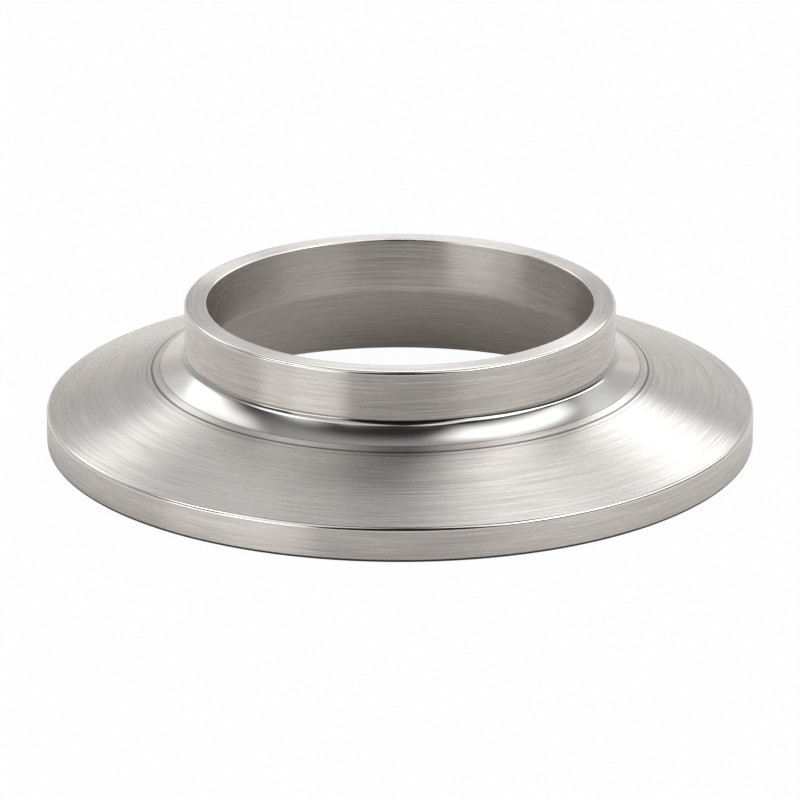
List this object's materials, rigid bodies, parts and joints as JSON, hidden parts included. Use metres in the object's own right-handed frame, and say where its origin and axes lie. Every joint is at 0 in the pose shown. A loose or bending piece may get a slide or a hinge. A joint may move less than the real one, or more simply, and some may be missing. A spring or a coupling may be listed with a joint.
{
  "type": "sanitary clamp ferrule",
  "caption": "Turned stainless steel ferrule for a sanitary clamp union: grooved gasket face, sloped clamp rim and short weld neck, with a straight bore that flares out to the face.",
  "frame": {"origin": "centre of the gasket face, which is the lowest plane of the part", "axes": "+Z along the axis of the bore, from the gasket face to the weld end; X and Y are free, as the part is turned"},
  "size_m": [0.064, 0.064, 0.0129],
  "materials": {
    "stainless": "turned and brushed round the axis, with a polished root"
  },
  "bodies": {
    "root": {"ferrule": "stainless"}
  },
  "joints": []
}
